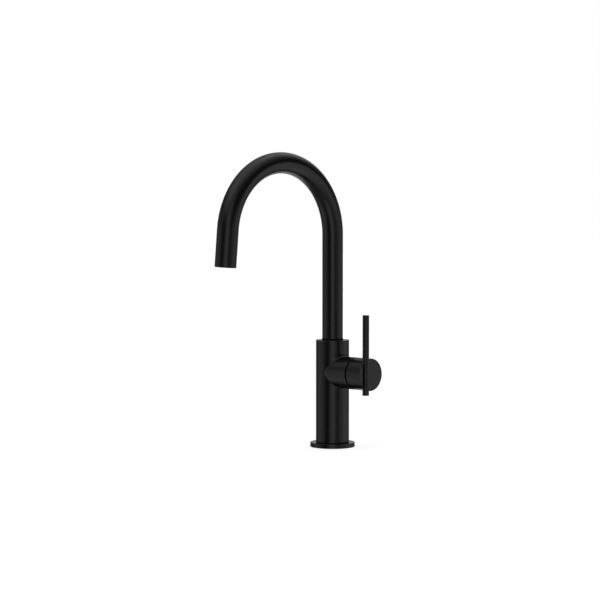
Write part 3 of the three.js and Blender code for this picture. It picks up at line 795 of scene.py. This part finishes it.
def turn_base_plate():
    plate = turned([
        (deck_bore, 0),
        (groove_inner, 0),
        (groove_inner, gasket_high.z),
        (groove_outer, gasket_high.z),
        (groove_outer, 0),
        (flange_high.x, 0),
        (flange_high.x, flange_high.z),
        (deck_bore, flange_high.z),
    ])
    select_edges(plate, on_ring(flange_high.x, flange_high.z))
    bpy.ops.mesh.bevel(offset=plate_top_round, segments=5, affect="EDGES")
    bpy.ops.object.mode_set(mode="OBJECT")
    return smooth(soften(plate, plate_round))


gasket = soften(ring(gasket_inner, gasket_high.x, gasket_low.z, gasket_high.z), gasket_round)
hand_over(turn_base_plate(), "base_plate", "body", "satin_black", "base_flange")
hand_over(smooth(gasket), "deck_gasket", "body", "black_rubber", "base_gasket")

# %% [markdown]
# ## The swivel ring and the seam ring
#
# Two thin rings of black plastic. One keeps the neck in the middle of the column's mouth as it
# swivels, and its lip is the black line round the neck's foot. The other sits between the stub and
# the handle's hub, 1.3 mm below their surface: it is the dark line that runs round the barrel. Its
# lip reaches into the hub without touching it, so no light falls through the seam.

# %% Turn the two plastic rings
glide_bore = tube_radius + 0.05 * MM
glide_shoulder = column_top - 0.3 * MM
glide_lip = tube_radius + 0.25 * MM
glide_round = 0.05 * MM
trim_low, trim_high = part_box("trim_ring")
trim_bore = 13.1 * MM
trim_sleeve = nut_bore - SLIP
trim_lip = 16 * MM
trim_overlap = 2 * MM  # how far the lip reaches into the hub
trim_round = 0.15 * MM

swivel_ring = turned([
    (glide_bore, glide_low.z),
    (glide_high.x, glide_low.z),
    (glide_high.x, glide_shoulder),
    (glide_lip, glide_shoulder),
    (glide_lip, glide_high.z),
    (glide_bore, glide_high.z),
])
soften(swivel_ring, glide_round)
hand_over(smooth(swivel_ring), "swivel_ring", "body", "black_plastic", "glide_ring")

seam_ring = along_handle(turned([
    (trim_bore, trim_low.x),
    (trim_sleeve, trim_low.x),
    (trim_sleeve, stub_end),
    (trim_high.y, stub_end),
    (trim_high.y, trim_high.x),
    (trim_lip, trim_high.x),
    (trim_lip, trim_high.x + trim_overlap),
    (trim_bore, trim_high.x + trim_overlap),
]))
soften(seam_ring, trim_round)
hand_over(smooth(seam_ring), "seam_ring", "body", "black_plastic", "trim_ring")

# %% [markdown]
# ## The handle's hub
#
# The hub is a cup turned from bar: a thick end face that carries the lever, a thin wall that covers
# the cartridge, and a boss in the middle that fits over the stem. The outline is spun about Z and
# then laid down along the handle's axis. The square for the stem, the holes for the lever's screws
# and the hole for the grub screw are carved afterwards, as they are broached and drilled in metal.
# A round groove across the end face takes half of the lever's thickness.

# %% Turn the hub and carve its holes
hub_wall = 3.2 * MM
hub_face = 6 * MM
hub_round = 0.3 * MM
boss_radius = 9 * MM
boss_setback = 2 * MM
stem_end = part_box("cartridge_stem")[1].x
stem_side = 6.5 * MM
grub_low, grub_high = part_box("hub_grub_screw")
grub_x = (grub_low.x + grub_high.x) / 2
grub_radius = (grub_high.x - grub_low.x) / 2
floor_x = hub_high.x - hub_face
lever_low, lever_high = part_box("lever_bar")
lever_middle = (lever_low + lever_high) / 2
lever_radius = (lever_high.y - lever_low.y) / 2
lever_fit = 0.03 * MM
LEVER_SIDES = 96
lever_screws = [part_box(name) for name in ("lever_screw_upper", "lever_screw_lower")]
screw_shaft = 1.35 * MM
screw_head = 1.0 * MM  # thickness of a screw's head


def square_cutter():
    """A bar with the stem's square section, from the hub's mouth to just past the stem's end."""
    low, high = hub_low.x - beyond, stem_end + SLIP
    side = stem_side + 2 * SLIP
    deselect_all()
    bpy.ops.mesh.primitive_cube_add(size=1, location=((low + high) / 2, 0, handle_height))
    bar = bpy.context.object
    bar.scale = (high - low, side, side)
    bpy.ops.object.transform_apply(location=True, rotation=False, scale=True)
    return bar


def turn_hub():
    hub = turned([
        (0, hub_low.x + boss_setback),
        (boss_radius, hub_low.x + boss_setback),
        (boss_radius, floor_x),
        (barrel_radius - hub_wall, floor_x),
        (barrel_radius - hub_wall, hub_low.x),
        (barrel_radius, hub_low.x),
        (barrel_radius, hub_high.x),
        (0, hub_high.x),
    ])
    soften(hub, hub_round)
    along_handle(hub)
    carve(hub, square_cutter())
    below = handle_height - barrel_radius - beyond
    grub_hole = [(grub_x, 0, height) for height in (below, handle_height)]
    carve(hub, rod(grub_radius + SLIP, *grub_hole, HOLE_SIDES))
    for low, high in lever_screws:
        spot = (low + high) / 2
        start = (floor_x - beyond, spot.y, spot.z)
        shaft_end = (hub_high.x + beyond, spot.y, spot.z)
        head_end = (low.x + screw_head, spot.y, spot.z)
        carve(hub, rod(screw_shaft + SLIP, start, shaft_end, HOLE_SIDES))
        carve(hub, rod((high.y - low.y) / 2 + SLIP, start, head_end, HOLE_SIDES))
    above = handle_height + barrel_radius + beyond
    bed = [(lever_middle.x, lever_middle.y, height) for height in (below, above)]
    carve(hub, rod(lever_radius + lever_fit, *bed, LEVER_SIDES))
    return smooth(hub)


hand_over(turn_hub(), "hub", "handle", "satin_black", "handle_hub")

# %% [markdown]
# ## The lever
#
# The lever is a round rod, and its tones in the photograph tell so: across its width they run as
# they do across the neck. It lies in the hub's groove and is screwed on from inside, off the middle
# and towards the spout. A cylinder gets rounded ends and two screw holes in its back.

# %% Shape the lever
lever_round = 0.5 * MM
LEVER_ANGLE = 50


def shape_lever():
    foot = (lever_middle.x, lever_middle.y, lever_low.z)
    top = (lever_middle.x, lever_middle.y, lever_high.z)
    lever = rod(lever_radius, foot, top, LEVER_SIDES)
    soften(lever, lever_round, segments=4, angle=LEVER_ANGLE)
    for low, high in lever_screws:
        spot = (low + high) / 2
        start = (lever_low.x - beyond, spot.y, spot.z)
        end = (high.x + SLIP, spot.y, spot.z)
        carve(lever, rod(screw_shaft + SLIP, start, end, HOLE_SIDES))
    return smooth(lever)


hand_over(shape_lever(), "lever", "handle", "satin_black", "lever_bar")
lever_length = lever_high.z - lever_low.z
print(f"lever: {2000 * lever_radius:.2f} mm across, {1000 * lever_length:.1f} mm long")

# %% [markdown]
# ## Threads
#
# A thread is a helix, and Blender has a screw modifier for that. Here a simpler way is enough: the
# rod is turned with eight rings of corners for each turn of the thread, and every corner is pushed
# in by how far it lies from the crest of the helix. The ends fade out over one pitch, as a real
# thread does where the die lets go.

# %% A helper that presses a thread into a turned rod
RINGS_PER_PITCH = 8
THREAD_SIDES = 48
THREAD_DEPTH = 0.61  # as a share of the pitch
THREAD_FLAT = 0.1  # how much of a flank is flat at the crest, and at the root


def thread_rings(radius, low, high, pitch):
    """The corners of an outline along a stretch that gets a thread."""
    count = round((high - low) / pitch * RINGS_PER_PITCH)
    return [(radius, low + (high - low) * number / count) for number in range(count + 1)]


def press_thread(piece, radius, low, high, pitch):
    """Pushes the corners between low and high in, where they lie on the given radius."""
    for vertex in piece.data.vertices:
        place = vertex.co
        if math.hypot(place.x, place.y) < radius - MERGE_DISTANCE:
            continue
        if not low < place.z < high or math.hypot(place.x, place.y) > radius + MERGE_DISTANCE:
            continue
        phase = (place.z / pitch - math.atan2(place.y, place.x) / (2 * math.pi)) % 1
        fade = min(1, (place.z - low) / pitch, (high - place.z) / pitch)
        flank = (abs(2 * phase - 1) - THREAD_FLAT) / (1 - 2 * THREAD_FLAT)
        push = THREAD_DEPTH * pitch * fade * min(1, max(0, flank))
        vertex.co.xy = place.xy * (radius - push) / radius


print(f"a thread is {100 * THREAD_DEPTH:.0f} % of its pitch deep")

# %% [markdown]
# ## The shank
#
# The shank is a brass tube that goes down through the deck. Its collar stands on the base plate and
# carries the column, and its thread holds the nut below. It is hidden in the photograph, and made
# here because the faucet can also be seen from below.

# %% Turn the shank
shank_low, shank_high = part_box("mounting_shank")
shank_wall = 2.6 * MM
shank_pitch = 1.5 * MM
shank_chamfer = 1.0 * MM
thread_stop = -2 * MM  # height of the thread's upper end
collar_height = flange_high.z


def turn_shank():
    bore = shank_radius - shank_wall
    low, high = shank_low.z + shank_chamfer, thread_stop
    shank = turned([
        (bore, shank_low.z),
        (shank_radius - shank_chamfer, shank_low.z),
        *thread_rings(shank_radius, low, high, shank_pitch),
        (shank_radius, collar_height),
        (shank_high.x, collar_height),
        (shank_high.x, shank_high.z),
        (bore, shank_high.z),
    ], THREAD_SIDES * 2)
    press_thread(shank, shank_radius, low, high, shank_pitch)
    return smooth(shank, CRISP_ANGLE)


hand_over(turn_shank(), "threaded_shank", "body", "brass", "mounting_shank")

# %% [markdown]
# ## Grub screws
#
# Two screws with no head keep the moving parts on. One enters from the column's back and runs in a
# groove of the neck's foot, so the neck turns but can't be pulled out. The other clamps the hub on
# the stem from below. Both are turned with a thread and a hexagon socket.

# %% Make the grub screws
socket_radius = 1.1 * MM
socket_depth = 2 * MM
grub_pitch = 0.7 * MM
grub_chamfer = 0.3 * MM


def grub_screw(length, tip_radius, tip_length):
    """A grub screw that stands on its tip at the origin."""
    low, high = tip_length + grub_chamfer, length - grub_chamfer
    screw = turned([
        (0, 0),
        (tip_radius, 0),
        (tip_radius, tip_length),
        (grub_radius - grub_chamfer, tip_length),
        *thread_rings(grub_radius, low, high, grub_pitch),
        (grub_radius - grub_chamfer, length),
        (0, length),
    ], THREAD_SIDES)
    socket = [(0, 0, height) for height in (length - socket_depth, length + beyond)]
    carve(screw, rod(socket_radius, *socket, HEXAGON_SIDES))
    press_thread(screw, grub_radius, low, high, grub_pitch)
    return smooth(screw, CRISP_ANGLE)


lock_tip, lock_tip_length = 0.8 * MM, 1.5 * MM
clamp_tip, clamp_tip_length = 1.4 * MM, 0.5 * MM
lock_screw = grub_screw(lock_high.y - lock_low.y, lock_tip, lock_tip_length)
place(lock_screw, (0, lock_low.y, lock_height), (-math.pi / 2, 0, 0))
hand_over(lock_screw, "neck_lock_screw", "body", "steel", "spout_lock_screw")

clamp_screw = grub_screw(grub_high.z - grub_low.z, clamp_tip, clamp_tip_length)
place(clamp_screw, (grub_x, 0, grub_high.z), (math.pi, 0, 0))
hand_over(clamp_screw, "hub_clamp_screw", "handle", "steel", "hub_grub_screw")

# %% [markdown]
# ## The aerator
#
# The aerator hides inside the neck's end: a plastic cup with a lip, notched for its key, and a
# honeycomb that makes the stream straight. Both are made upright at the origin and then moved to
# the outlet and tilted along the tail. The honeycomb is a disc, and its cells are one hexagonal
# cutter that is copied on a triangular grid and joined, so that one Boolean carves them all.

# %% Turn the aerator's cup and carve the honeycomb
aerator_setback = 1.2 * MM
cup_radius = tube_radius - tube_wall - SLIP
cup_bore = cup_radius - 2 * MM
cup_lip = 0.8 * MM
cup_round = 0.15 * MM
cup_top = aerator_setback + 9.8 * MM
NOTCHES = 4
NOTCH_SIDES = 24
notch_circle = 9.1 * MM
notch_radius = 0.9 * MM
notch_top = aerator_setback + 0.5 * MM
cell_pitch = 2.05 * MM
cell_radius = 0.95 * MM
CELL_RINGS = 4
comb_rim = 0.6 * MM  # the plain rim round the cells
comb_round = 0.2 * MM
tail_tilt = math.pi - arch_sweep


def at_outlet(piece):
    """Moves a piece that stands upright at the origin to the outlet, and tilts it."""
    return place(piece, outlet, (-tail_tilt, 0, 0))


def turn_cup():
    cup = turned([
        (cup_bore - cup_lip, aerator_setback),
        (cup_radius, aerator_setback),
        (cup_radius, cup_top),
        (cup_bore, cup_top),
        (cup_bore, aerator_setback + cup_lip),
        (cup_bore - cup_lip, aerator_setback + cup_lip),
    ])
    soften(cup, cup_round)
    for number in range(NOTCHES):
        turn = (number + 0.5) * 2 * math.pi / NOTCHES
        x, y = notch_circle * math.cos(turn), notch_circle * math.sin(turn)
        carve(cup, rod(notch_radius, (x, y, 0), (x, y, notch_top), NOTCH_SIDES))
    return smooth(at_outlet(cup))


def honeycomb_cutter(low, high):
    """All the cells as one piece, in rows that are shifted by half a cell."""
    cells = []
    for row in range(-CELL_RINGS, CELL_RINGS + 1):
        count = 2 * CELL_RINGS + 1 - abs(row)
        for cell in range(count):
            x = (cell - (count - 1) / 2) * cell_pitch
            y = row * cell_pitch * math.sqrt(3) / 2
            if math.hypot(x, y) < cup_bore - cell_radius - comb_rim:
                cells.append(rod(cell_radius, (x, y, low), (x, y, high), HEXAGON_SIDES))
    deselect_all()
    for cell in cells:
        cell.select_set(True)
    bpy.context.view_layer.objects.active = cells[0]
    bpy.ops.object.join()
    return cells[0]


def make_honeycomb():
    low = aerator_setback + cup_lip
    high = cup_top - SLIP
    edge = cup_bore - SLIP
    disc = turned([(0, low), (edge, low), (edge, high), (0, high)], FEWER_STEPS)
    soften(disc, comb_round)
    carve(disc, honeycomb_cutter(low - beyond, high + beyond))
    return smooth(at_outlet(disc), CRISP_ANGLE)


hand_over(turn_cup(), "aerator_cup", "spout", "black_plastic", "aerator_housing")
hand_over(make_honeycomb(), "aerator_honeycomb", "spout", "white_plastic", "aerator_insert")

# %% [markdown]
# ## The clamp under the deck
#
# Under the deck a rubber washer and a steel washer are pressed up by the nut's two bolts. The nut
# and the bolt heads are hexagons with turned chamfers. A chamfer of that kind is the common part of
# a hexagonal bar and a turned disc, which is what a lathe makes of hexagonal bar too. Where the
# bevel of a Boolean's edge leaves faces of no size, `dissolve_degenerate` takes them away.

# %% Make the washers, the nut and the bolts
rubber_low, rubber_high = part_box("rubber_washer")
washer_low, washer_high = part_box("clamp_washer")
big_nut_low, big_nut_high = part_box("mounting_nut")
bolt_low, bolt_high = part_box("clamp_screw_rear")
rubber_round = 0.5 * MM
washer_round = 0.2 * MM
nut_round = 0.2 * MM
nut_chamfer = 1.6 * MM
NUT_ANGLE = 50
SLIVER_SIZE = 0.1 * MERGE_DISTANCE
bolt_circle = 21 * MM
bolt_radius = 2.5 * MM
bolt_pitch = 0.8 * MM
bolt_chamfer = 0.5 * MM
bolt_overlap = 3 * MM  # how far the shaft reaches into the head
head_height = 4 * MM
head_radius = 4 * MM
head_chamfer = 0.35 * MM
EDGE_PAST_FLATS = 0.3  # how far past the flats a hexagon's chamfer starts, in chamfers


def hexagon(corner_radius, low, high, chamfer):
    """A hexagonal bar about Z whose corners are turned off at both ends."""
    flats = corner_radius * math.cos(math.pi / HEXAGON_SIDES)
    edge = flats + EDGE_PAST_FLATS * chamfer
    bar = rod(corner_radius, (0, 0, low), (0, 0, high), HEXAGON_SIDES)
    disc = turned([
        (0, low),
        (edge, low),
        (edge + 2 * chamfer, low + chamfer),
        (edge + 2 * chamfer, high - chamfer),
        (edge, high),
        (0, high),
    ], FEWER_STEPS)
    return carve(bar, disc, "INTERSECT")


def make_nut():
    """A hexagon with the shank's bore and a hole for each bolt."""
    nut = hexagon(big_nut_high.y, big_nut_low.z, big_nut_high.z, nut_chamfer)
    low, high = big_nut_low.z - beyond, big_nut_high.z + beyond
    carve(nut, rod(deck_bore, (0, 0, low), (0, 0, high), TURN_STEPS))
    for side in (-1, 1):
        spot = side * bolt_circle
        carve(nut, rod(bolt_radius + SLIP, (0, spot, low), (0, spot, high), HOLE_SIDES))
    soften(nut, nut_round, segments=2, angle=NUT_ANGLE)
    bpy.ops.object.mode_set(mode="EDIT")
    bpy.ops.mesh.select_all(action="SELECT")
    bpy.ops.mesh.dissolve_degenerate(threshold=SLIVER_SIZE)
    bpy.ops.object.mode_set(mode="OBJECT")
    return smooth(nut, CRISP_ANGLE)


def make_bolt(side):
    """A hexagonal head with a threaded shaft, at the front (-1) or the rear (1)."""
    head_top = bolt_low.z + head_height
    foot = head_top - bolt_overlap
    low, high = head_top + bolt_chamfer, bolt_high.z - bolt_chamfer
    shaft = turned([
        (0, foot),
        (bolt_radius, foot),
        *thread_rings(bolt_radius, low, high, bolt_pitch),
        (bolt_radius - bolt_chamfer, bolt_high.z),
        (0, bolt_high.z),
    ], THREAD_SIDES)
    bolt = carve(hexagon(head_radius, bolt_low.z, head_top, head_chamfer), shaft, "UNION")
    press_thread(bolt, bolt_radius, low, high, bolt_pitch)
    return place(smooth(bolt, CRISP_ANGLE), (0, side * bolt_circle, 0))


rubber = soften(ring(deck_bore, rubber_high.x, rubber_low.z, rubber_high.z), rubber_round)
steel = soften(ring(deck_bore, washer_high.x, washer_low.z, washer_high.z), washer_round)
hand_over(smooth(rubber), "deck_washer_rubber", "clamp", "black_rubber", "rubber_washer")
hand_over(smooth(steel), "deck_washer_steel", "clamp", "steel", "clamp_washer")
hand_over(make_nut(), "hex_nut", "clamp", "brass", "mounting_nut")
hand_over(make_bolt(-1), "clamp_bolt_front", "clamp", "steel", "clamp_screw_front")
hand_over(make_bolt(1), "clamp_bolt_rear", "clamp", "steel", "clamp_screw_rear")

# %% [markdown]
# ## The pieces that stay as they are
#
# What is left is inside: the ceramic cartridge, the seals, the waterways and the screws behind the
# lever. Their fixed shapes are right, so they only get their finishes. The record names a material
# for every node, and that name picks the finish.

# %% Finish the carried-over pieces
slot_of = {part["node"]: part["material_slot"] for part in frame["record"]["subparts"]}
for name, node in frame["nodes"].items():
    if not node.hide_render:
        for slot in node.material_slots:
            slot.material = finishes[slot_of[name]]
        print("kept:", name, "in", slot_of[name])
